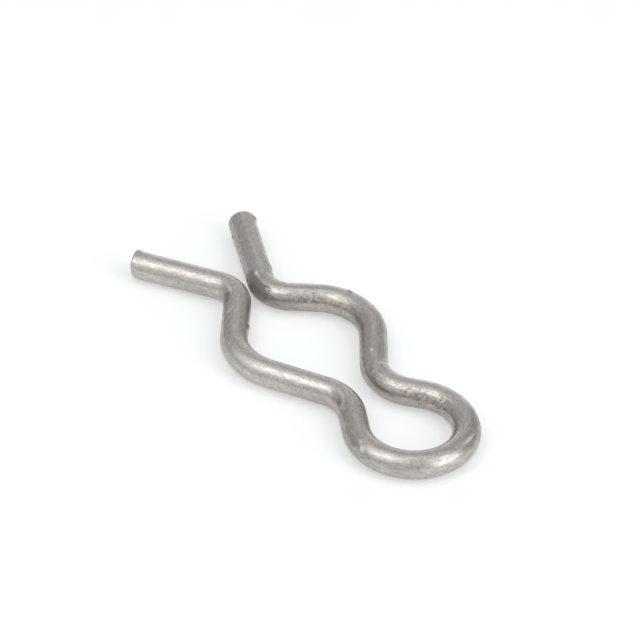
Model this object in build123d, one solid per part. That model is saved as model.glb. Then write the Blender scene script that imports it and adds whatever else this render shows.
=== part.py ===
from build123d import *
from math import cos, radians, sin
import os

# A hitch pin clip with two waved legs: one length of round spring wire, bent flat.
# From a closed loop both legs draw in to a waist, swell round the seat of the pin,
# draw in again to a throat, where they have rubbed flat on each other, and flare out
# as straight tails with sheared ends.
# +X points along the clip to the loop, +Y to the left leg and +Z up. The clip lies
# on its side on z = 0, with the middle of its outline at the origin.
# Lengths are in millimetres and slopes in degrees from the clip's middle line.

# Wire
WIRE_DIAMETER = 3.0
END_ROUNDING = 0.2  # rim of each sheared end

# Clear widths between the legs
LOOP_WIDTH = 8.5
WAIST_WIDTH = 2.4
SEAT_WIDTH = 12.0
THROAT_WIDTH = 0.4
WAIST_SHIFT = 0.28  # how far the waist stands to the right of the middle line
THROAT_FLAT_DEPTH = 0.2  # how deep each throat is worn flat, where it faces the other

# Inside radii of the bends, alike on both legs
WAIST_RADIUS = 3.1
SEAT_RADIUS = 4.55
THROAT_RADIUS = 1.7

# Left leg
LEFT_NECK_SLOPE = 39.9  # from the loop in to the waist
LEFT_SWELL_SLOPE = 37.7  # from the waist out to the seat
LEFT_CLOSE_SLOPE = 51.3  # from the seat in to the throat
LEFT_TAIL_SLOPE = 25.7  # from the throat out to the end
LEFT_TAIL_LENGTH = 10.55

# Right leg
RIGHT_NECK_SLOPE = 29.1
RIGHT_SWELL_SLOPE = 29.1
RIGHT_CLOSE_SLOPE = 40.4
RIGHT_TAIL_SLOPE = 32.7
RIGHT_TAIL_LENGTH = 9.65

# Sizes on the wire's centreline
WIRE_RADIUS = WIRE_DIAMETER / 2
LOOP_BEND = LOOP_WIDTH / 2 + WIRE_RADIUS
WAIST_BEND = WAIST_RADIUS + WIRE_RADIUS
SEAT_BEND = SEAT_RADIUS + WIRE_RADIUS
THROAT_BEND = THROAT_RADIUS + WIRE_RADIUS
WAIST_OFFSET = WAIST_WIDTH / 2 + WIRE_RADIUS
SEAT_OFFSET = SEAT_WIDTH / 2 + WIRE_RADIUS
THROAT_OFFSET = THROAT_WIDTH / 2 + WIRE_RADIUS
THROAT_FLAT_OFFSET = THROAT_WIDTH / 2 + THROAT_FLAT_DEPTH


def straight_between(high, low, bends, slope):
    """Length of the straight between an outward and an inward bend.

    high and low are the two bends' farthest distances from the middle line, and
    bends is the sum of their radii. What the two bends don't climb, the straight does.
    """
    climb_of_bends = bends * (1 - cos(radians(slope)))
    return (high - low - climb_of_bends) / sin(radians(slope))


def leg_line(waist_offset, neck_slope, swell_slope, close_slope, tail_slope, tail_length):
    """Centreline of one leg on the +Y side, from the loop's end to the tail's end."""
    neck_length = straight_between(LOOP_BEND, waist_offset, LOOP_BEND + WAIST_BEND, neck_slope)
    swell_length = straight_between(SEAT_OFFSET, waist_offset, SEAT_BEND + WAIST_BEND, swell_slope)
    close_length = straight_between(SEAT_OFFSET, THROAT_OFFSET, SEAT_BEND + THROAT_BEND, close_slope)

    loop_end = PolarLine((0, 0), LOOP_BEND, 90 + neck_slope) @ 1
    neck = PolarLine(loop_end, neck_length, 180 + neck_slope)
    waist = JernArc(neck @ 1, neck % 1, WAIST_BEND, -(neck_slope + swell_slope))
    swell = PolarLine(waist @ 1, swell_length, direction=waist % 1)
    seat = JernArc(swell @ 1, swell % 1, SEAT_BEND, swell_slope + close_slope)
    close = PolarLine(seat @ 1, close_length, direction=seat % 1)
    throat = JernArc(close @ 1, close % 1, THROAT_BEND, -(close_slope + tail_slope))
    tail = PolarLine(throat @ 1, tail_length, direction=throat % 1)
    return [neck, waist, swell, seat, close, throat, tail]


def clip_lines():
    """Centrelines of the left leg, the loop and the right leg, each leg from the loop outwards."""
    left = leg_line(WAIST_OFFSET - WAIST_SHIFT, LEFT_NECK_SLOPE, LEFT_SWELL_SLOPE,
                    LEFT_CLOSE_SLOPE, LEFT_TAIL_SLOPE, LEFT_TAIL_LENGTH)
    right = leg_line(WAIST_OFFSET + WAIST_SHIFT, RIGHT_NECK_SLOPE, RIGHT_SWELL_SLOPE,
                     RIGHT_CLOSE_SLOPE, RIGHT_TAIL_SLOPE, RIGHT_TAIL_LENGTH)
    first_angle = -90 - RIGHT_NECK_SLOPE
    loop = CenterArc((0, 0), LOOP_BEND, first_angle, 90 + LEFT_NECK_SLOPE - first_angle)
    return left, loop, [edge.mirror(Plane.XZ) for edge in right]


def bent_wire(line):
    """Round wire along a centreline, with its sheared ends slightly rounded."""
    section = Plane(origin=line @ 0, z_dir=line % 0) * Circle(WIRE_RADIUS)
    wire = sweep(section, path=line)
    sheared_ends = wire.faces().filter_by(GeomType.PLANE)
    return fillet(sheared_ends.edges(), END_ROUNDING)


def throat_gap(left, right):
    """Block that fills the gap between the two legs' throats as far as their flats."""
    *_, left_throat, _ = left
    *_, right_throat, _ = right
    span = Curve([left_throat, right_throat]).bounding_box()
    block = Box(span.size.X + 2 * WIRE_DIAMETER, 2 * THROAT_FLAT_OFFSET, WIRE_DIAMETER)
    return Pos(X=span.center().X) * block


def on_its_side(solid):
    """Lays a solid on z = 0 with the middle of its outline at the origin."""
    box = solid.bounding_box()
    return Pos(-box.center().X, -box.center().Y, -box.min.Z) * solid


left, loop, right = clip_lines()
line = Wire([*left, loop, *right])
clip = on_its_side(bent_wire(line) - throat_gap(left, right))
print(f"wire length {line.length:.2f} mm, volume {clip.volume:.2f} mm3, size {clip.bounding_box().size}")

os.makedirs("parts", exist_ok=True)
export_step(clip, "parts/wire_clip.step")
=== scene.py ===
"""Looks of a double wave hitch pin clip: bent spring wire with a drawn, slightly stained steel finish."""

import logging
import math
from abc import ABC, abstractmethod
from dataclasses import dataclass, field
from enum import Enum

import bpy
import numpy as np
from mathutils import Matrix, Vector

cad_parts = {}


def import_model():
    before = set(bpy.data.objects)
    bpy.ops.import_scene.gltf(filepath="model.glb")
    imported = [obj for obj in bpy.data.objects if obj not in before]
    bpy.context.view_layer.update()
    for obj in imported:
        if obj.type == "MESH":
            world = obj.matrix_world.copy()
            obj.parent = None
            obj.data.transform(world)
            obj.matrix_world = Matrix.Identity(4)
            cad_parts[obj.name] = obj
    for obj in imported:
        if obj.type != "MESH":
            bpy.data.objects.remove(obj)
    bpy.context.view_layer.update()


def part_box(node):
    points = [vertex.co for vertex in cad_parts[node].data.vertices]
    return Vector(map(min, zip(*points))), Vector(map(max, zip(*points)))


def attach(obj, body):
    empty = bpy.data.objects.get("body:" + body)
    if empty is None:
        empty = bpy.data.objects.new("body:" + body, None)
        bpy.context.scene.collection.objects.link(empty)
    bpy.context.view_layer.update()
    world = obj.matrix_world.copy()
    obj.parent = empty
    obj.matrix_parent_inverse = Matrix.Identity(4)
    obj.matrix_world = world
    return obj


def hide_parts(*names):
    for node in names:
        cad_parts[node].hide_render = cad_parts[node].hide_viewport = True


log = logging.getLogger("hitch_pin_clip")

MM = 0.001
NODE = "wire_clip"
FEWEST_RINGS = 2

Triple = tuple[float, float, float]
Colour = tuple[float, float, float, float]
Socket = bpy.types.NodeSocket

WHITE: Colour = (1.0, 1.0, 1.0, 1.0)


class Turn(Enum):
    """Way that a bend turns the wire, seen from above."""

    LEFT = 1
    RIGHT = -1


class Mark(Enum):
    """Names of the values that the wire's points carry for the finish."""

    STRAIGHT_WIRE = "straight_wire_mm"
    PITTED = "pitted"
    STAINED = "stained"
    # Spots of painted shade, where the wire mirrors shaded floor, with some real dark film on the wire.
    GRIMED = "grimed"
    SPECKED = "specked"
    # Real scratches and painted highlights: bright spots on lips, on the flat's rim and on bends where
    # light catches them.
    SCRAPED = "scraped"
    # A dark patch on the far throat: painted shade and a painted reflection of the other leg, with some
    # real soiling.
    RUBBED = "rubbed"


@dataclass(frozen=True)
class Station:
    """Place of the wire's middle at the start of a stretch, its heading and its distance along the wire."""

    point: Vector
    heading: float
    along: float

    def forward(self) -> Vector:
        """Unit vector along the wire."""
        return Vector((math.cos(self.heading), math.sin(self.heading), 0.0))

    def aside(self) -> Vector:
        """Unit vector to the left of the wire, seen from above."""
        return Vector((-math.sin(self.heading), math.cos(self.heading), 0.0))


class Stretch(ABC):
    """One stretch of the wire, straight or bent."""

    length: float

    @abstractmethod
    def leave(self, start: Station) -> Station:
        """Finds where the stretch ends.

        Args:
            start: where the stretch starts.

        Returns:
            The station at its end.
        """

    @abstractmethod
    def draw(self, start: Station, pitch: float) -> None:
        """Draws the selected ring of edges on along the stretch, in edit mode.

        Args:
            start: where the stretch starts.
            pitch: largest distance between two rings.
        """

    @abstractmethod
    def unbend(self, points: np.ndarray, start: Station) -> tuple[np.ndarray, np.ndarray]:
        """Finds where points lie on the wire as it was before it was bent.

        Args:
            points: places in the frame, one a row.
            start: where the stretch starts.

        Returns:
            The distance of each point along the stretch, and to the left of its middle.
        """

    def rings(self, pitch: float) -> int:
        """Number of rings that the stretch needs."""
        return max(FEWEST_RINGS, math.ceil(self.length / pitch))


@dataclass(frozen=True)
class Straight(Stretch):
    """A stretch of wire that is fed straight on."""

    length: float

    def leave(self, start: Station) -> Station:
        """Station at the end of the straight."""
        point = start.point + start.forward() * self.length
        return Station(point, start.heading, start.along + self.length)

    def draw(self, start: Station, pitch: float) -> None:
        """Draws the ring on in equal steps."""
        steps = self.rings(pitch)
        bpy.ops.mesh.extrude_repeat(steps=steps, offset=start.forward() * (self.length / steps))

    def unbend(self, points: np.ndarray, start: Station) -> tuple[np.ndarray, np.ndarray]:
        """Distances along the straight and to its left."""
        gap = points - np.array(start.point)
        return gap @ np.array(start.forward()), gap @ np.array(start.aside())


@dataclass(frozen=True)
class Bend(Stretch):
    """A stretch of wire that is bent round a former, with its radius taken at the wire's middle."""

    radius: float
    angle: float
    turn: Turn

    @property
    def length(self) -> float:
        """Length of the bend along the wire's middle."""
        return self.radius * self.angle

    def centre(self, start: Station) -> Vector:
        """Middle of the bend."""
        return start.point + start.aside() * (self.turn.value * self.radius)

    def leave(self, start: Station) -> Station:
        """Finds where the bend ends.

        Args:
            start: where the bend starts.

        Returns:
            The station at its end.
        """
        heading = start.heading + self.turn.value * self.angle
        turned = Station(start.point, heading, start.along + self.length)
        point = self.centre(start) - turned.aside() * (self.turn.value * self.radius)
        return Station(point, heading, turned.along)

    def draw(self, start: Station, pitch: float) -> None:
        """Spins the ring round the bend's middle."""
        bpy.ops.mesh.spin(
            steps=self.rings(pitch), angle=-self.turn.value * self.angle, center=self.centre(start),
            axis=(0.0, 0.0, 1.0), dupli=False, use_auto_merge=False,
        )

    def unbend(self, points: np.ndarray, start: Station) -> tuple[np.ndarray, np.ndarray]:
        """Finds where points lie on the wire as it was before this bend.

        Args:
            points: places in the frame, one a row.
            start: where the bend starts.

        Returns:
            The distance of each point along the bend, and to the left of its middle.
        """
        arm = points - np.array(self.centre(start))
        away = np.array(start.aside()) * -self.turn.value
        ahead = np.array(start.forward())
        swung = np.arctan2(arm @ ahead, arm @ away)
        swung = np.where(swung < self.angle / 2 - math.pi, swung + 2 * math.pi, swung)
        reach = np.hypot(arm[:, 0], arm[:, 1])
        return swung * self.radius, (self.radius - reach) * self.turn.value


@dataclass(frozen=True)
class LegShape:
    """Slopes of one leg's straights from the clip's middle line, in degrees, and its tail's length."""

    neck_slope: float
    swell_slope: float
    close_slope: float
    tail_slope: float
    tail_length: float


@dataclass(frozen=True)
class WireMap:
    """Where each point of the surface lay on the straight wire, in millimetres."""

    along: np.ndarray
    aside: np.ndarray
    height: np.ndarray

    def clock(self) -> np.ndarray:
        """Angle of each point round the wire: nought on the outer flank, a quarter turn on top."""
        return np.arctan2(self.height, self.aside)

    def reach(self) -> np.ndarray:
        """Distance of each point from the wire's middle."""
        return np.hypot(self.aside, self.height)

    def facing(self, clock: float) -> np.ndarray:
        """Cosine of each point's angle from a clock angle, which is in degrees."""
        return np.cos(self.clock() - math.radians(clock))

    def away(self, along: float, clock: float) -> tuple[np.ndarray, np.ndarray]:
        """Measures from a spot on the wire.

        Args:
            along: the spot's distance along the wire.
            clock: the spot's angle round the wire, in degrees.

        Returns:
            The distances of each point from the spot, along the wire and round it.
        """
        turned = self.clock() - math.radians(clock)
        turned = np.arctan2(np.sin(turned), np.cos(turned))
        return self.along - along, turned * self.reach()


@dataclass(frozen=True)
class Spot:
    """A spot on the wire with soft edges. Lengths are in millimetres and angles in degrees.

    Its length leans from the wire's run towards the inner flank. A strength above one hardens its edge.
    """

    along: float
    clock: float
    length: float
    width: float
    strength: float = 1.0
    rise: float = 0.0
    lean: float = 0.0

    def cover(self, wire: WireMap) -> np.ndarray:
        """Share of the spot on each point.

        Args:
            wire: where each point lies on the wire.

        Returns:
            A share from nought to one.
        """
        forward, round_ = wire.away(self.along, self.clock)
        lean = math.radians(self.lean)
        lengthwise = forward * math.cos(lean) + round_ * math.sin(lean)
        crosswise = round_ * math.cos(lean) - forward * math.sin(lean)
        spread = (lengthwise * 2 / self.length) ** 2 + (crosswise * 2 / self.width) ** 2
        return np.exp(-spread)


@dataclass(frozen=True)
class ShearedEnd:
    """How shears left a wire's end: rolled over where they went in, with a burr where they came out.

    Lengths are in millimetres and clock angles in degrees.
    """

    roll_clock: float
    roll: float
    burr_clock: float
    burr: float
    burr_depth: float
    depth: float = 0.9
    roll_sharpness: int = 2
    burr_sharpness: int = 6
    rim_sharpness: int = 4
    widening_share: float = 0.5

    def moves(self, wire: WireMap, inward: np.ndarray, radius: float) -> tuple[np.ndarray, np.ndarray]:
        """Works out how the end's points move.

        Args:
            wire: where each point lies on the wire.
            inward: distance of each point in from the tip.
            radius: the wire's radius.

        Returns:
            How far each point moves out of the end, and how much its distance from the middle grows.
        """
        rim = wire.reach() / radius
        fade = np.clip(1 - inward / self.depth, 0.0, 1.0)
        rolled = np.clip(wire.facing(self.roll_clock) * rim, 0.0, 1.0) ** self.roll_sharpness
        rolled = rolled * fade**self.roll_sharpness
        lip = np.clip(wire.facing(self.burr_clock), 0.0, 1.0) ** self.burr_sharpness
        lip = lip * rim**self.rim_sharpness * np.exp(-((inward / self.burr_depth) ** 2))
        outward = self.burr * lip - self.roll * rolled
        return outward, outward * self.widening_share


@dataclass(frozen=True)
class Wear:
    """What making and use left on the wire: sheared ends, plain bumps and the spots of each mark, some of
    which also carry painted shade and painted highlights.
    """

    left_end: ShearedEnd = ShearedEnd(
        roll_clock=180.0, roll=0.05, burr_clock=25.0, burr=0.05, burr_depth=0.4,
    )
    right_end: ShearedEnd = ShearedEnd(
        roll_clock=-35.0, roll=0.26, burr_clock=121.0, burr=0.03, burr_depth=0.3,
    )
    bumps: tuple[Spot, ...] = (
        Spot(0.62, 28.0, 0.5, 0.9, rise=0.19),
        Spot(9.0, 22.0, 0.8, 1.2, rise=0.1),
        Spot(105.0, 118.0, 0.55, 0.8, rise=0.14),
    )
    marks: dict[Mark, tuple[Spot, ...]] = field(default_factory=lambda: {
        Mark.PITTED: (
            Spot(17.4, 153.0, 5.5, 1.2, 1.0),
            Spot(20.6, 164.0, 4.0, 1.2, 0.8),
            Spot(39.8, 131.0, 4.0, 1.3, 0.5),
            Spot(39.0, 144.0, 5.5, 1.0, 0.9),
            Spot(40.6, 166.0, 3.6, 1.6, 1.0),
            Spot(43.2, 147.0, 4.6, 1.3, 0.8),
            Spot(47.0, 150.0, 5.0, 1.6, 0.4),
            Spot(88.9, 62.0, 2.6, 2.2, 0.3),
            Spot(34.0, 120.0, 3.0, 2.0, 0.5),
        ),
        Mark.STAINED: (
            Spot(18.6, 175.0, 8.0, 2.0, 1.0),
            Spot(12.4, 120.0, 4.0, 2.4, 0.5),
            Spot(30.0, 90.0, 9.0, 3.0, 0.5),
            Spot(70.3, 14.0, 6.0, 2.0, 0.8),
            Spot(65.6, 42.0, 4.0, 1.0, 0.7),
            Spot(97.5, 5.0, 6.0, 2.0, 0.5),
            Spot(90.0, 162.0, 9.0, 2.2, 0.8),
            Spot(65.0, 155.0, 8.0, 2.2, 0.8),
            Spot(46.8, 168.0, 5.0, 1.8, 0.6),
            Spot(38.6, 148.0, 4.0, 1.2, 0.7),
        ),
        # Spots of painted shade with some real dark film: darker where the wire mirrors shaded floor and
        # the other leg.
        Mark.GRIMED: (
            Spot(22.0, 5.0, 46.0, 2.9, 0.8),
            Spot(17.0, 184.0, 11.0, 1.3, 1.0),
            Spot(28.0, 168.0, 9.0, 1.8, 0.65),
            Spot(4.5, 150.0, 12.0, 1.5, 0.3),
            Spot(42.6, 168.0, 3.4, 1.4, 0.35),
            Spot(47.2, 26.0, 8.0, 2.2, 0.75),
            Spot(57.5, -4.0, 5.0, 1.5, 0.3),
            Spot(64.0, 12.0, 10.0, 2.2, 0.75),
            Spot(71.2, -6.0, 9.0, 1.7, 0.5),
            Spot(85.4, 24.0, 6.5, 1.7, 0.5),
            Spot(92.0, -8.0, 6.0, 1.5, 0.5),
            Spot(98.6, -8.0, 6.0, 1.3, 0.3),
            Spot(13.0, 64.0, 7.0, 1.2, 0.4),
            Spot(51.0, 74.0, 8.0, 0.8, 0.35),
            Spot(57.5, 87.0, 7.0, 0.8, 0.3),
        ),
        Mark.SPECKED: (
            Spot(2.72, 176.0, 0.5, 0.34, 1.2, 0.10, 25.0),
            Spot(2.58, 183.0, 0.3, 0.24, 0.9, 0.05, -30.0),
            Spot(10.39, 175.0, 0.42, 0.38, 1.0, 0.08),
            Spot(87.3, 158.0, 0.5, 0.32, 1.6, 0.14, 25.0),
            Spot(87.16, 166.0, 0.32, 0.26, 1.2, 0.06, -30.0),
            Spot(21.12, 62.0, 0.5, 0.3, 1.6, 0.09, 15.0),
            Spot(21.0, 68.0, 0.3, 0.24, 1.1, 0.04, -40.0),
            Spot(92.1, 46.0, 0.9, 0.5, 0.6, -0.03, -20.0),
            Spot(90.9, 43.0, 0.7, 0.5, 0.5, -0.02, 20.0),
            Spot(68.8, 35.0, 1.0, 0.6, 0.5, -0.03, 15.0),
            Spot(69.7, 27.0, 0.8, 0.5, 0.3, -0.02),
            Spot(64.1, 31.0, 0.7, 0.5, 0.3, -0.01),
            Spot(62.6, 22.0, 0.8, 0.6, 0.3, -0.01),
            Spot(60.8, 13.0, 0.6, 0.5, 0.25, -0.01),
        ),
        # Scratches and painted highlights: bright spots on lips, on the flat's rim and on bends where light
        # catches them.
        Mark.SCRAPED: (
            Spot(92.9, 63.0, 2.0, 0.26, 0.65, 0.03),
            Spot(94.86, 10.5, 0.4, 0.34, 0.7, 0.03),
            Spot(92.06, 147.0, 0.4, 0.3, 0.8, 0.03),
            Spot(69.3, 66.0, 2.6, 0.28, 0.4, 0.02, 13.0),
            Spot(67.7, 41.0, 1.1, 0.28, 0.55, 0.03, 50.0),
            Spot(61.32, 39.0, 0.75, 0.26, 1.0, 0.04, 40.0),
            Spot(61.88, 57.0, 0.5, 0.26, 0.5, 0.02, 40.0),
            Spot(33.69, 62.0, 1.4, 0.26, 0.7, 0.04, 90.0),
            Spot(31.4, 102.0, 0.6, 0.22, 0.9, 0.02),
            Spot(88.96, 62.0, 1.2, 0.22, 0.6, 0.0, 40.0),
            Spot(10.75, 114.0, 0.5, 0.3, 1.0, 0.05, 10.0),
            Spot(11.3, 112.0, 1.8, 0.26, 0.4, 0.0, 8.0),
            Spot(50.0, 58.5, 1.9, 0.3, 0.75, 0.0, 7.0),
            Spot(81.6, 51.0, 3.2, 0.8, 0.55),
            Spot(60.2, 47.0, 2.2, 0.6, 0.45),
            Spot(92.4, 147.0, 3.0, 0.9, 0.35),
        ),
        # Painted shade and a painted reflection of the near leg on the far throat, with some real soiling.
        Mark.RUBBED: (
            Spot(11.5, 155.0, 3.7, 2.5),
        ),
    })


@dataclass
class WireClip:
    """The clip: one round wire from the left tail's end round the loop to the right tail's end."""

    loop_width: float = 8.5 * MM
    waist_width: float = 2.4 * MM
    waist_shift: float = 0.28 * MM
    seat_width: float = 12.0 * MM
    throat_width: float = 0.4 * MM
    throat_flat_depth: float = 0.2 * MM
    waist_radius: float = 3.1 * MM
    seat_radius: float = 4.55 * MM
    throat_radius: float = 1.7 * MM
    end_rounding: float = 0.2 * MM
    left: LegShape = LegShape(
        neck_slope=39.9, swell_slope=37.7, close_slope=51.3, tail_slope=25.7, tail_length=10.55 * MM,
    )
    right: LegShape = LegShape(
        neck_slope=29.1, swell_slope=29.1, close_slope=40.4, tail_slope=32.7, tail_length=9.65 * MM,
    )
    wear: Wear = field(default_factory=Wear)
    sides: int = 80
    pitch: float = 0.115 * MM
    rim_steps: int = 6
    face_rings: int = 12
    waviness: float = 0.012 * MM
    waviness_size: float = 1.2 * MM
    waviness_layers: int = 3
    weld_gap: float = 0.00115 * MM
    cut_gap: float = 0.000115 * MM
    name: str = "spring_wire"
    wire_diameter: float = field(init=False)
    loop_middle: Vector = field(init=False)
    body: bpy.types.Object = field(init=False)
    wire: WireMap = field(init=False)

    def __post_init__(self) -> None:
        """Takes the wire's thickness and the loop's place from the frame."""
        low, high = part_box(NODE)
        self.wire_diameter = high.z - low.z
        reach = self.loop_width / 2 + self.wire_diameter
        self.loop_middle = Vector((high.x - reach, (low.y + high.y) / 2, (low.z + high.z) / 2))

    @property
    def wire_radius(self) -> float:
        """Half of the wire's thickness."""
        return self.wire_diameter / 2

    def leg(self, shape: LegShape, waist_shift: float) -> list[Stretch]:
        """Lists one leg's stretches from its tail's end to the loop.

        Args:
            shape: the leg's slopes and tail.
            waist_shift: how far the leg's waist stands out from the usual place.

        Returns:
            The leg's stretches, as seen on the left leg.
        """
        wire = self.wire_radius
        loop, waist = self.loop_width / 2 + wire, self.waist_radius + wire
        seat, throat = self.seat_radius + wire, self.throat_radius + wire
        waist_offset = self.waist_width / 2 + wire + waist_shift
        seat_offset, throat_offset = self.seat_width / 2 + wire, self.throat_width / 2 + wire
        tail, close = math.radians(shape.tail_slope), math.radians(shape.close_slope)
        swell, neck = math.radians(shape.swell_slope), math.radians(shape.neck_slope)
        return [
            Straight(shape.tail_length),
            Bend(throat, tail + close, Turn.LEFT),
            Straight(straight_between(seat_offset - throat_offset, seat + throat, close)),
            Bend(seat, close + swell, Turn.RIGHT),
            Straight(straight_between(seat_offset - waist_offset, seat + waist, swell)),
            Bend(waist, swell + neck, Turn.LEFT),
            Straight(straight_between(loop - waist_offset, loop + waist, neck)),
        ]

    def stretches(self) -> list[Stretch]:
        """Lists the clip's stretches.

        Returns:
            The stretches from the left tail's end to the right tail's end.
        """
        left = self.leg(self.left, -self.waist_shift)
        right = self.leg(self.right, self.waist_shift)
        loop_angle = math.pi + math.radians(self.left.neck_slope + self.right.neck_slope)
        loop = Bend(self.loop_width / 2 + self.wire_radius, loop_angle, Turn.RIGHT)
        return [*left, loop, *reversed(right)]

    def stations(self) -> list[Station]:
        """Finds where each stretch starts.

        Returns:
            The stations at the stretches' starts, and the one where the last stretch ends.
        """
        stretches = self.stretches()
        found = [Station(Vector((0.0, 0.0, 0.0)), -math.radians(self.left.tail_slope), 0.0)]
        for stretch in stretches:
            found.append(stretch.leave(found[-1]))
        loop = len(stretches) // 2
        shift = self.loop_middle - stretches[loop].centre(found[loop])
        return [Station(s.point + shift, s.heading, s.along) for s in found]

    def build(self) -> None:
        """Draws the wire stretch by stretch, joins it and wears it."""
        stations = self.stations()
        stretches = self.stretches()
        first, last = stations[0], stations[-1]
        inset = self.end_rounding
        drawn = [self.draw_end(first, first.forward() * -1.0), self.draw_end(last, last.forward())]
        stretches[0] = Straight(stretches[0].length - inset)
        stretches[-1] = Straight(stretches[-1].length - inset)
        rim = Station(first.point + first.forward() * inset, first.heading, inset)
        starts = [rim, *stations[1:]]
        for stretch, start in zip(stretches, starts):
            drawn.append(self.draw_stretch(stretch, start))
        for piece in drawn:
            piece.select_set(True)
        bpy.ops.object.join()
        self.body = bpy.context.object
        self.body.name = self.body.data.name = self.name
        bpy.ops.object.mode_set(mode="EDIT")
        bpy.ops.mesh.select_all(action="SELECT")
        bpy.ops.mesh.remove_doubles(threshold=self.weld_gap)
        bpy.ops.mesh.normals_make_consistent(inside=False)
        bpy.ops.object.mode_set(mode="OBJECT")
        self.roughen()
        self.map_wire(stations)
        self.mark_wear()
        self.shear_ends(first, last)
        self.rub_throats(stations)
        bpy.ops.object.shade_smooth()

    def add_ring(self, point: Vector, heading: float) -> bpy.types.Object:
        """Adds a ring round the wire's middle and leaves it selected in edit mode.

        Args:
            point: place of the wire's middle.
            heading: heading of the wire there.

        Returns:
            The ring's object.
        """
        bpy.ops.object.select_all(action="DESELECT")
        bpy.ops.mesh.primitive_circle_add(
            vertices=self.sides, radius=self.wire_radius, fill_type="NOTHING",
            location=point, rotation=(0.0, math.pi / 2, heading),
        )
        bpy.ops.object.transform_apply(location=True, rotation=True, scale=True)
        bpy.ops.object.mode_set(mode="EDIT")
        bpy.ops.mesh.select_mode(type="EDGE")
        bpy.ops.mesh.select_all(action="SELECT")
        return bpy.context.object

    def draw_stretch(self, stretch: Stretch, start: Station) -> bpy.types.Object:
        """Draws one stretch of the wire.

        Args:
            stretch: the stretch to draw.
            start: where it starts.

        Returns:
            The stretch's object.
        """
        ring = self.add_ring(start.point, start.heading)
        stretch.draw(start, self.pitch)
        bpy.ops.object.mode_set(mode="OBJECT")
        return ring

    def draw_end(self, tip: Station, outward: Vector) -> bpy.types.Object:
        """Draws a sheared end: a rounded rim, then rings that close on the middle of the cut face.

        Args:
            tip: the wire's end.
            outward: unit vector out of the cut face.

        Returns:
            The end's object.
        """
        rounding = self.end_rounding
        ring = self.add_ring(tip.point - outward * rounding, tip.heading)
        radius, reach = self.wire_radius, 0.0
        profile = []
        for step in range(1, self.rim_steps + 1):
            angle = math.pi / 2 * step / self.rim_steps
            rim = self.wire_radius - rounding * (1 - math.cos(angle))
            profile.append((rim, rounding * math.sin(angle)))
        flat, _ = profile[-1]
        for ring_left in range(self.face_rings - 1, 0, -1):
            profile.append((flat * ring_left / self.face_rings, rounding))
        for wanted, height in profile:
            bpy.ops.mesh.extrude_edges_move(TRANSFORM_OT_translate={"value": outward * (height - reach)})
            middle = tip.point + outward * (height - rounding)
            shrink = wanted / radius
            bpy.ops.transform.resize(value=(shrink, shrink, shrink), center_override=middle)
            radius, reach = wanted, height
        bpy.ops.mesh.edge_face_add()
        bpy.ops.object.mode_set(mode="OBJECT")
        return ring

    def roughen(self) -> None:
        """Makes the drawn surface very slightly wavy."""
        texture = bpy.data.textures.new("waviness", "CLOUDS")
        texture.noise_scale = self.waviness_size
        texture.noise_depth = self.waviness_layers
        displace = self.body.modifiers.new("waviness", "DISPLACE")
        displace.texture = texture
        displace.texture_coords = "LOCAL"
        displace.strength = self.waviness
        bpy.ops.object.modifier_apply(modifier=displace.name)

    def points(self) -> np.ndarray:
        """Reads the places of the wire's points.

        Returns:
            The places, one a row.
        """
        flat = np.zeros(len(self.body.data.vertices) * 3)
        self.body.data.vertices.foreach_get("co", flat)
        return flat.reshape(-1, 3)

    def move_points(self, moves: np.ndarray) -> None:
        """Moves the wire's points.

        Args:
            moves: how far each point moves, one a row.
        """
        self.body.data.vertices.foreach_set("co", (self.points() + moves).ravel())
        self.body.data.update()

    def map_wire(self, stations: list[Station]) -> None:
        """Notes where each point lay on the straight wire, and stores it for the finish.

        Args:
            stations: where each stretch starts.
        """
        points = self.points()
        along, aside = np.zeros(len(points)), np.zeros(len(points))
        nearest = np.full(len(points), np.inf)
        for stretch, start in zip(self.stretches(), stations):
            forward, left = stretch.unbend(points, start)
            beyond = np.maximum(np.maximum(-forward, forward - stretch.length), 0.0)
            miss = np.hypot(beyond, left)
            closer = miss < nearest
            along[closer] = start.along + forward[closer]
            aside[closer] = left[closer]
            nearest = np.minimum(miss, nearest)
        height = points[:, 2] - self.loop_middle.z
        self.wire = WireMap(along / MM, aside / MM, height / MM)
        unbent = np.column_stack((self.wire.along, self.wire.aside, self.wire.height))
        attribute = self.body.data.attributes.new(Mark.STRAIGHT_WIRE.value, "FLOAT_VECTOR", "POINT")
        attribute.data.foreach_set("vector", unbent.astype(np.float32).ravel())

    def mark_wear(self) -> None:
        """Stores the worn spots and the spots of painted shade and painted highlights for the finish, and
        raises those that stand out of the surface.
        """
        mesh = self.body.data
        normals = np.zeros(len(mesh.vertices) * 3)
        mesh.vertices.foreach_get("normal", normals)
        normals = normals.reshape(-1, 3)
        for bump in self.wear.bumps:
            self.move_points(normals * (bump.cover(self.wire) * bump.rise * MM)[:, None])
        for mark, spots in self.wear.marks.items():
            cover = np.zeros(len(mesh.vertices))
            for spot in spots:
                share = spot.cover(self.wire)
                cover = np.maximum(cover, share * spot.strength)
                self.move_points(normals * (share * spot.rise * MM)[:, None])
            attribute = mesh.attributes.new(mark.value, "FLOAT", "POINT")
            attribute.data.foreach_set("value", cover.astype(np.float32))

    def shear_ends(self, first: Station, last: Station) -> None:
        """Shapes both ends as shears left them.

        Args:
            first: the left tail's tip.
            last: the right tail's tip.
        """
        ends = (
            (self.wear.left_end, first, first.forward() * -1.0),
            (self.wear.right_end, last, last.forward()),
        )
        for end, tip, outward in ends:
            out = np.array(outward)
            offset = self.points() - np.array(tip.point)
            inward = -(offset @ out)
            spokes = offset + inward[:, None] * out
            beside = np.hypot(spokes[:, 0], spokes[:, 1])
            close = (beside < self.wire_diameter) & (inward < end.depth * MM)
            push, grow = end.moves(self.wire, inward / MM, self.wire_radius / MM)
            spokes /= np.maximum(np.linalg.norm(spokes, axis=1), self.pitch)[:, None]
            moves = out * push[:, None] + spokes * grow[:, None]
            self.move_points(np.where(close[:, None], moves * MM, 0.0))

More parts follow.
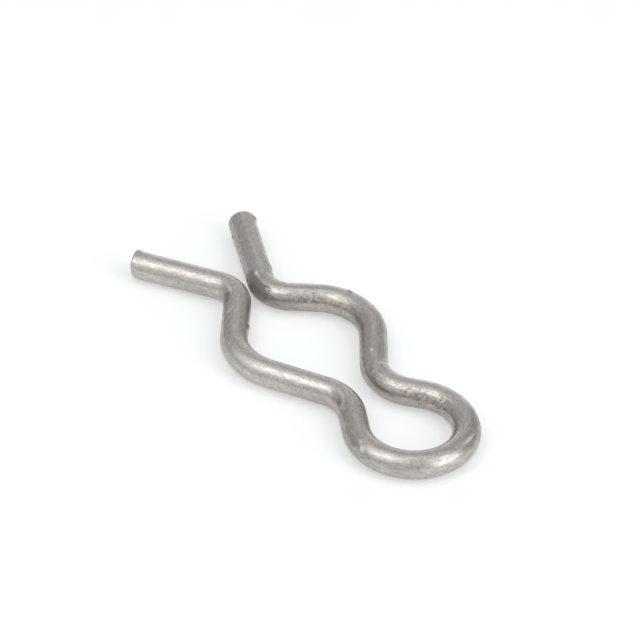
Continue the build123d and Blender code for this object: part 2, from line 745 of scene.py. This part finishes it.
    def rub_throats(self, stations: list[Station]) -> None:
        """Cuts the flats where the two throats have worn against each other.

        Args:
            stations: where each stretch starts.
        """
        flat = self.throat_width / 2 + self.throat_flat_depth
        for throat, side in ((stations[1], 1), (stations[-2], -1)):
            points = self.points()
            beside = (points[:, 1] - self.loop_middle.y) * side
            chosen = np.abs(points[:, 0] - throat.point.x) < self.throat_radius + self.wire_diameter
            chosen &= (beside > 0.0) & (beside < self.wire_diameter)
            bpy.ops.object.mode_set(mode="EDIT")
            bpy.ops.mesh.select_mode(type="VERT")
            bpy.ops.mesh.select_all(action="DESELECT")
            bpy.ops.object.mode_set(mode="OBJECT")
            self.body.data.vertices.foreach_set("select", chosen)
            bpy.ops.object.mode_set(mode="EDIT")
            bpy.ops.mesh.bisect(
                plane_co=(throat.point.x, self.loop_middle.y + side * flat, 0.0),
                plane_no=(0.0, -side, 0.0),
                use_fill=True, clear_outer=True, threshold=self.cut_gap,
            )
            bpy.ops.mesh.mark_sharp()
            bpy.ops.object.mode_set(mode="OBJECT")

    def dress(self, steel: bpy.types.Material) -> None:
        """Gives the wire its finish and ties it to the frame.

        Args:
            steel: the wire's material.
        """
        self.body.data.materials.append(steel)
        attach(self.body, "root")
        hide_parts(NODE)


def straight_between(climb: float, bends: float, slope: float) -> float:
    """Works out the straight between an outward and an inward bend.

    Args:
        climb: how much farther out the one bend reaches than the other.
        bends: sum of the two bends' radii.
        slope: angle of the straight to the clip's middle line.

    Returns:
        The straight's length.
    """
    return (climb - bends * (1 - math.cos(slope))) / math.sin(slope)


def direction(azimuth: float, elevation: float) -> Vector:
    """Finds the way from the clip to a place round it.

    Args:
        azimuth: bearing of the place in degrees: nought beside the right leg, 90 ahead of the loop.
        elevation: its angle above the floor in degrees.

    Returns:
        A unit vector.
    """
    turn, lift = math.radians(azimuth), math.radians(elevation)
    return Vector((math.sin(turn) * math.cos(lift), -math.cos(turn) * math.cos(lift), math.sin(lift)))


@dataclass(frozen=True)
class Pattern:
    """A cloudy pattern: its counts in a millimetre along, across and up the wire, and its finer layers."""

    counts: Triple
    layers: float = 2.0
    roughness: float = 0.6


@dataclass(frozen=True)
class Ramp:
    """A soft step: values between low and high become values between start and end."""

    low: float
    high: float
    start: float = 0.0
    end: float = 1.0


class Recipe:
    """A material, with short calls for the nodes that the finishes use."""

    # Where a mix of colours has its share, its two colours and its result
    BLEND_INPUTS = (0, 6, 7)
    BLEND_OUTPUT = 2

    def __init__(self, name: str) -> None:
        """Starts the material with its usual shader.

        Args:
            name: the material's name.
        """
        self.material = bpy.data.materials.new(name)
        self.material.use_nodes = True
        self.tree = self.material.node_tree
        self.shader = self.tree.nodes["Principled BSDF"]

    def feed(self, node: bpy.types.Node, inputs: dict[str | int, object]) -> None:
        """Fills inputs of a node.

        Args:
            node: the node.
            inputs: for each input, a socket to join to it or a value.
        """
        for place, given in inputs.items():
            if isinstance(given, Socket):
                self.tree.links.new(given, node.inputs[place])
            else:
                node.inputs[place].default_value = given

    def node(self, kind: str, inputs: dict[str | int, object]) -> bpy.types.Node:
        """Adds a node.

        Args:
            kind: the node's type.
            inputs: for each input, a socket to join to it or a value.

        Returns:
            The node.
        """
        added = self.tree.nodes.new(kind)
        self.feed(added, inputs)
        return added

    def mark(self, mark: Mark) -> Socket:
        """Reads a value that the wire's points carry.

        Args:
            mark: which value.

        Returns:
            A vector for the place on the straight wire, and otherwise a number.
        """
        added = self.node("ShaderNodeAttribute", {})
        added.attribute_name = mark.value
        return added.outputs["Vector" if mark is Mark.STRAIGHT_WIRE else "Fac"]

    def aside(self, place: Socket) -> Socket:
        """Takes the distance towards the outer flank out of a place on the straight wire."""
        return self.node("ShaderNodeSeparateXYZ", {0: place}).outputs["Y"]

    def reckon_place(self, operation: str, place: Socket, amounts: Triple) -> Socket:
        """Moves or scales a place along each axis.

        Args:
            operation: ADD to move it or MULTIPLY to scale it.
            place: the place.
            amounts: how much, along each axis.

        Returns:
            The new place.
        """
        added = self.node("ShaderNodeVectorMath", {0: place, 1: amounts})
        added.operation = operation
        return added.outputs[0]

    def noise(self, place: Socket, pattern: Pattern) -> Socket:
        """Makes a cloudy pattern.

        Args:
            place: place on the straight wire.
            pattern: the pattern's sizes.

        Returns:
            Values from nought to one.
        """
        inputs = {
            "Vector": self.reckon_place("MULTIPLY", place, pattern.counts), "Scale": 1.0,
            "Detail": pattern.layers, "Roughness": pattern.roughness,
        }
        return self.node("ShaderNodeTexNoise", inputs).outputs["Fac"]

    def dots(self, place: Socket, per_mm: float) -> Socket:
        """Distance from the nearest of many scattered dots."""
        return self.node("ShaderNodeTexVoronoi", {"Vector": place, "Scale": per_mm}).outputs["Distance"]

    def fade(self, value: Socket, ramp: Ramp) -> Socket:
        """Maps values softly.

        Args:
            value: the values.
            ramp: from and to which values they go.

        Returns:
            The mapped values.
        """
        added = self.node("ShaderNodeMapRange", {
            "Value": value, "From Min": ramp.low, "From Max": ramp.high,
            "To Min": ramp.start, "To Max": ramp.end,
        })
        added.interpolation_type = "SMOOTHSTEP"
        return added.outputs["Result"]

    def reckon(self, operation: str, *values: object) -> Socket:
        """Reckons with values.

        Args:
            operation: what to reckon.
            values: sockets or numbers, in order.

        Returns:
            The result.
        """
        added = self.node("ShaderNodeMath", dict(enumerate(values)))
        added.operation = operation
        return added.outputs[0]

    def mingle(self, *parts: tuple[Socket, float]) -> Socket:
        """Adds up several patterns.

        Args:
            parts: each pattern with its share.

        Returns:
            The sum.
        """
        (first, share), *others = parts
        total = self.reckon("MULTIPLY", first, share)
        for pattern, weight in others:
            total = self.reckon("MULTIPLY_ADD", pattern, weight, total)
        return total

    def blend(self, share: Socket, first: object, second: object) -> Socket:
        """Blends from one colour to another.

        Args:
            share: how much of the second colour there is.
            first: a colour or a socket that gives one.
            second: the other.

        Returns:
            The blended colour.
        """
        added = self.node("ShaderNodeMix", {})
        added.data_type = "RGBA"
        self.feed(added, dict(zip(self.BLEND_INPUTS, (share, first, second))))
        return added.outputs[self.BLEND_OUTPUT]


@dataclass(frozen=True)
class SteelLayers:
    """Patterns, worn places and places of painted shade and painted highlights that the drawn steel's
    colour, shine and relief are all made from.
    """

    place: Socket
    mottle: Socket
    tone: Socket
    pits: Socket
    crust: Socket
    pitted: Socket
    stained: Socket
    rubbed: Socket
    specked: Socket
    scraped: Socket


@dataclass(frozen=True)
class DrawnSteel:
    """Bright drawn spring wire: satin steel with draw lines, mottling, pits and brownish stains.

    Shares say how much of a pattern or of a coat of colour there is.
    """

    name: str = "drawn_steel"
    pale: Colour = (0.62, 0.59, 0.555, 1.0)
    dull: Colour = (0.41, 0.385, 0.355, 1.0)
    stain: Colour = (0.43, 0.365, 0.325, 1.0)
    # Colour of the painted shade on the inner flank and of the dark film on the listed spots.
    grime_and_shade: Colour = (0.21, 0.19, 0.178, 1.0)
    # Colour of the dark patch of painted shade and soiling; it is mostly not metal.
    rubbed: Colour = (0.165, 0.142, 0.13, 1.0)
    pit: Colour = (0.10, 0.09, 0.085, 1.0)
    speck: Colour = (0.04, 0.036, 0.034, 1.0)
    # Bright metal for the gleams, and the colour of the scratches and painted highlights.
    bright: Colour = (0.84, 0.82, 0.79, 1.0)
    crust_dark: Colour = (0.27, 0.235, 0.21, 1.0)
    crust_pale: Colour = (0.74, 0.67, 0.61, 1.0)
    texture_shift: Triple = (37.0, 11.0, 7.0)
    mottle: Pattern = Pattern((1.6, 4.2, 4.2), layers=4.0)
    draw_lines: Pattern = Pattern((0.22, 9.0, 9.0))
    grain: Pattern = Pattern((4.6, 4.6, 4.6))
    clouds: Pattern = Pattern((0.28, 0.7, 0.7))
    crust: Pattern = Pattern((2.6, 2.6, 2.6), layers=3.0)
    pit_patches: Pattern = Pattern((0.9, 0.9, 0.9))
    gleam_patches: Pattern = Pattern((1.7, 1.7, 1.7), layers=1.0)
    pits_per_mm: float = 3.2
    gleams_per_mm: float = 4.5
    mottle_share: float = 0.37
    lines_share: float = 0.22
    grain_share: float = 0.41
    pitted_share: float = 0.38
    cloud_share: float = 0.35
    stain_share: float = 0.5
    crust_share: float = 0.6
    pit_share: float = 0.7
    gleam_share: float = 0.5
    # Share of the scratches and painted highlights that is not metal, so they look bright from every side.
    scrape_and_highlight_dielectric_share: float = 0.8
    scab_share: float = 0.8
    tone_ramp: Ramp = Ramp(0.36, 0.62)
    pit_edge: Ramp = Ramp(0.14, 0.34, start=1.0, end=0.0)
    pit_patch_edge: Ramp = Ramp(0.56, 0.72)
    gleam_edge: Ramp = Ramp(0.08, 0.18, start=1.0, end=0.0)
    gleam_patch_edge: Ramp = Ramp(0.60, 0.72)
    crust_edge: Ramp = Ramp(0.42, 0.58)
    cloud_edge: Ramp = Ramp(0.54, 0.80)
    # Painted shade on the inner flank, which faces the other leg.
    inner_flank_shade_mm: Ramp = Ramp(-0.55, -1.45, end=0.5)
    grime_and_shade_thinning: Ramp = Ramp(0.3, 0.6, start=1.0, end=0.55)
    # The stained spots thin the painted shade and the dark film.
    grime_and_shade_under_stain: Ramp = Ramp(0.0, 1.0, start=1.0, end=0.2)
    # Frayed, hard edge of the dark patch of painted shade and soiling.
    dirt_and_shade_fray: Ramp = Ramp(0.3, 0.7, start=-0.18, end=0.18)
    dirt_and_shade_edge: Ramp = Ramp(0.36, 0.48, end=0.9)
    speck_edge: Ramp = Ramp(0.5, 0.8)
    roughness: Ramp = Ramp(0.35, 0.65, start=0.39, end=0.29)
    relief: float = 0.012 * MM

    def material(self) -> bpy.types.Material:
        """Makes the material.

        Returns:
            The material.
        """
        recipe = Recipe(self.name)
        layers = self.layers(recipe)
        recipe.feed(recipe.shader, {
            "Base Color": self.colour(recipe, layers),
            "Metallic": self.bare_metal(recipe, layers),
            "Roughness": recipe.fade(layers.mottle, self.roughness),
            "Normal": self.bumps(recipe, layers),
        })
        return recipe.material

    def layers(self, recipe: Recipe) -> SteelLayers:
        """Lays out the patterns and reads the worn places and the places of painted shade and painted
        highlights.

        Args:
            recipe: the material.

        Returns:
            The layers.
        """
        place = recipe.reckon_place("ADD", recipe.mark(Mark.STRAIGHT_WIRE), self.texture_shift)
        pitted = recipe.mark(Mark.PITTED)
        mottle = recipe.noise(place, self.mottle)
        tone = recipe.mingle(
            (mottle, self.mottle_share),
            (recipe.noise(place, self.draw_lines), self.lines_share),
            (recipe.noise(place, self.grain), self.grain_share),
        )
        hollows = recipe.fade(recipe.dots(place, self.pits_per_mm), self.pit_edge)
        chance = recipe.mingle((recipe.noise(place, self.pit_patches), 1.0), (pitted, self.pitted_share))
        frayed = recipe.reckon("ADD", recipe.mark(Mark.RUBBED), recipe.fade(mottle, self.dirt_and_shade_fray))
        return SteelLayers(
            place=place,
            mottle=mottle,
            tone=tone,
            pits=recipe.reckon("MULTIPLY", hollows, recipe.fade(chance, self.pit_patch_edge)),
            crust=recipe.fade(recipe.noise(place, self.crust), self.crust_edge),
            pitted=pitted,
            stained=recipe.mark(Mark.STAINED),
            rubbed=recipe.fade(frayed, self.dirt_and_shade_edge),
            specked=recipe.mark(Mark.SPECKED),
            scraped=recipe.mark(Mark.SCRAPED),
        )

    def colour(self, recipe: Recipe, layers: SteelLayers) -> Socket:
        """Lays coats of colour over the steel, from the painted shade and dark film up to the scratches and
        painted highlights.

        Args:
            recipe: the material.
            layers: its patterns and worn places.

        Returns:
            The colour of the surface.
        """
        crusty = recipe.blend(layers.crust, self.crust_dark, self.crust_pale)
        coats = (
            # Painted shade on the inner flank and the listed spots, with some dark film.
            (self.grime_and_shade_cover(recipe, layers), self.grime_and_shade),
            (self.stain_cover(recipe, layers), self.stain),
            (recipe.reckon("MULTIPLY", layers.pitted, self.crust_share), crusty),
            (recipe.reckon("MULTIPLY", layers.pits, self.pit_share), self.pit),
            (self.gleam_cover(recipe, layers), self.bright),
            # Dark patch: painted shade and reflection between the legs, with soiling.
            (layers.rubbed, self.rubbed),
            (layers.specked, self.speck),
            # Scratches and painted highlights.
            (layers.scraped, self.bright),
        )
        colour = recipe.blend(recipe.fade(layers.tone, self.tone_ramp), self.dull, self.pale)
        for cover, coat in coats:
            colour = recipe.blend(cover, colour, coat)
        return colour

    def grime_and_shade_cover(self, recipe: Recipe, layers: SteelLayers) -> Socket:
        """Paints shade on the inner flank, which faces the other leg, and on the listed spots, which also
        carry some dark film; both are thinner where the wire is stained.

        Args:
            recipe: the material.
            layers: its patterns and worn places.

        Returns:
            The share of painted shade and dark film.
        """
        # Painted shade on the inner flank, which faces the other leg.
        flank = recipe.fade(recipe.aside(recipe.mark(Mark.STRAIGHT_WIRE)), self.inner_flank_shade_mm)
        grime_and_shade = recipe.reckon("ADD", flank, recipe.mark(Mark.GRIMED))
        grime_and_shade = recipe.reckon("MULTIPLY", grime_and_shade, recipe.fade(layers.mottle, self.grime_and_shade_thinning))
        return recipe.reckon("MULTIPLY", grime_and_shade, recipe.fade(layers.stained, self.grime_and_shade_under_stain))

    def stain_cover(self, recipe: Recipe, layers: SteelLayers) -> Socket:
        """Share of brownish stain: faint clouds all over, and the stained spots."""
        clouds = recipe.fade(recipe.noise(layers.place, self.clouds), self.cloud_edge)
        return recipe.mingle((clouds, self.cloud_share), (layers.stained, self.stain_share))

    def gleam_cover(self, recipe: Recipe, layers: SteelLayers) -> Socket:
        """Scatters small bright dots in patches.

        Args:
            recipe: the material.
            layers: its patterns and worn places.

        Returns:
            The share of bright metal.
        """
        dots = recipe.fade(recipe.dots(layers.place, self.gleams_per_mm), self.gleam_edge)
        patches = recipe.fade(recipe.noise(layers.place, self.gleam_patches), self.gleam_patch_edge)
        gleams = recipe.reckon("MULTIPLY", dots, patches)
        return recipe.reckon("MULTIPLY", gleams, self.gleam_share)

    def bare_metal(self, recipe: Recipe, layers: SteelLayers) -> Socket:
        """Finds where the metal is bare: not under the dark patch, the specks, the scratches or the painted
        highlights.

        Args:
            recipe: the material.
            layers: its patterns and worn places.

        Returns:
            The share of bare metal.
        """
        # The dark patch of painted shade and soiling, and the dark specks, are not bare metal.
        dark_patch_and_specks = recipe.reckon("MAXIMUM", layers.rubbed, recipe.fade(layers.specked, self.speck_edge))
        # Painted highlights and scratches are partly not metal.
        scrape_and_highlight_dielectric = recipe.reckon("MULTIPLY", layers.scraped, self.scrape_and_highlight_dielectric_share)
        return recipe.reckon("SUBTRACT", 1.0, recipe.reckon("MAXIMUM", dark_patch_and_specks, scrape_and_highlight_dielectric))

    def bumps(self, recipe: Recipe, layers: SteelLayers) -> Socket:
        """Raises the grain and the crust a little, and sinks the pits.

        Args:
            recipe: the material.
            layers: its patterns and worn places.

        Returns:
            The way that the surface faces.
        """
        scabs = recipe.reckon("MULTIPLY", layers.crust, layers.pitted)
        height = recipe.mingle((layers.tone, 1.0), (layers.pits, -1.0), (scabs, self.scab_share))
        bump = recipe.node("ShaderNodeBump", {"Height": height, "Distance": self.relief, "Strength": 1.0})
        return bump.outputs["Normal"]


@dataclass(frozen=True)
class PaleFloor:
    """The plain pale sheet that the clip lies on. It glows a little, and light spreads inside it."""

    size: float = 4.0
    colour: Colour = (0.66, 0.684, 0.68, 1.0)
    glow: float = 0.35
    spread: float = 1.4 * MM
    roughness: float = 0.9

    def lay(self) -> None:
        """Lays the floor under the clip."""
        bpy.ops.object.select_all(action="DESELECT")
        bpy.ops.mesh.primitive_plane_add(size=self.size)
        floor = bpy.context.object
        floor.name = "floor"
        recipe = Recipe("pale_floor")
        recipe.shader.subsurface_method = "BURLEY"
        recipe.feed(recipe.shader, {
            "Base Color": self.colour,
            "Roughness": self.roughness,
            "Specular IOR Level": 0.0,
            "Emission Color": WHITE,
            "Emission Strength": self.glow,
            "Subsurface Weight": 1.0,
            "Subsurface Radius": (1.0, 1.0, 1.0),
            "Subsurface Scale": self.spread,
        })
        floor.data.materials.append(recipe.material)


@dataclass(frozen=True)
class PhotoCamera:
    """The camera, at the photograph's angle. Angles are in degrees."""

    azimuth: float = 50.218
    elevation: float = 39.0
    roll: float = 3.149
    distance: float = 500 * MM
    focal_pixels: float = 4701.9
    image_pixels: int = 640
    sensor_width: float = 36.0
    target: Triple = (-3.48 * MM, 3.17 * MM, 1.5 * MM)

    def place(self) -> None:
        """Sets the camera up and makes it the scene's own."""
        turn, roll = math.radians(self.azimuth), math.radians(self.roll)
        back = direction(self.azimuth, self.elevation)
        level = Vector((math.cos(turn), math.sin(turn), 0.0))
        upright = back.cross(level)
        right = level * math.cos(roll) + upright * math.sin(roll)
        above = upright * math.cos(roll) - level * math.sin(roll)
        bpy.ops.object.camera_add()
        camera = bpy.context.object
        camera.data.sensor_width = self.sensor_width
        camera.data.lens = self.sensor_width * self.focal_pixels / self.image_pixels
        facing = Matrix((right, above, back)).transposed().to_4x4()
        camera.matrix_world = Matrix.Translation(Vector(self.target) + back * self.distance) @ facing
        bpy.context.scene.camera = camera


@dataclass(frozen=True)
class SoftBox:
    """A rectangular studio light that faces the clip. Its bearing is from the camera's own, to the right.

    Its width and height are the angles that it takes up, seen from the clip, in degrees.
    """

    name: str
    bearing: float
    elevation: float
    width: float
    height: float
    radiance: float
    distance: float = 0.7

    def hang(self, camera_azimuth: float) -> None:
        """Hangs the light.

        Args:
            camera_azimuth: the camera's azimuth in degrees.
        """
        out = direction(camera_azimuth + self.bearing, self.elevation)
        bpy.ops.object.light_add(type="AREA", location=out * self.distance)
        light = bpy.context.object
        light.name = self.name
        light.rotation_euler = out.to_track_quat("Z", "Y").to_euler()
        wide, high = (2 * self.distance * math.tan(math.radians(a) / 2) for a in (self.width, self.height))
        light.data.shape = "RECTANGLE"
        light.data.size, light.data.size_y = wide, high
        light.data.energy = self.radiance * math.pi * wide * high


@dataclass(frozen=True)
class Studio:
    """Floor, soft lights and the room's even glow."""

    room: Colour = (0.49, 0.50, 0.515, 1.0)
    floor: PaleFloor = PaleFloor()
    lights: tuple[SoftBox, ...] = (
        SoftBox("window", 62.0, 27.0, 35.0, 32.0, 2.0),
        SoftBox("window_top", 72.0, 52.0, 22.0, 18.0, 2.0),
        SoftBox("window_foot", 52.0, 3.0, 64.0, 12.0, 0.9),
        SoftBox("window_bounce", 46.0, 36.0, 56.0, 60.0, 0.2),
        SoftBox("side_box", -54.0, 61.0, 30.0, 34.0, 1.5),
        SoftBox("side_bounce", -40.0, 44.0, 66.0, 56.0, 0.35),
        SoftBox("side_card", -54.0, 14.0, 54.0, 36.0, 0.12),
        SoftBox("side_card_far", -127.0, 15.0, 24.0, 26.0, 0.11),
        SoftBox("back_card", 180.0, 10.0, 44.0, 20.0, 0.68),
        SoftBox("back_glow", 180.0, 39.0, 26.0, 24.0, 0.22),
        SoftBox("ceiling", 180.0, 82.0, 60.0, 40.0, 0.55),
    )

    def set_up(self, camera: PhotoCamera) -> None:
        """Lights the scene.

        Args:
            camera: the camera, from which the lights' bearings are taken.
        """
        scene = bpy.context.scene
        scene.world = bpy.data.worlds.new("room")
        scene.world.use_nodes = True
        glow = scene.world.node_tree.nodes["Background"]
        glow.inputs["Color"].default_value = self.room
        scene.view_settings.view_transform = "Standard"
        self.floor.lay()
        for light in self.lights:
            light.hang(camera.azimuth)


def main() -> None:
    """Builds the clip, its finish and the studio round it."""
    logging.basicConfig(level=logging.INFO, format="%(name)s: %(message)s")
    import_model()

    camera = PhotoCamera()
    camera.place()
    clip = WireClip()
    clip.build()
    clip.dress(DrawnSteel().material())
    log.info("%s: %d faces", clip.body.name, len(clip.body.data.polygons))
    Studio().set_up(camera)


if __name__ == "__main__":
    main()
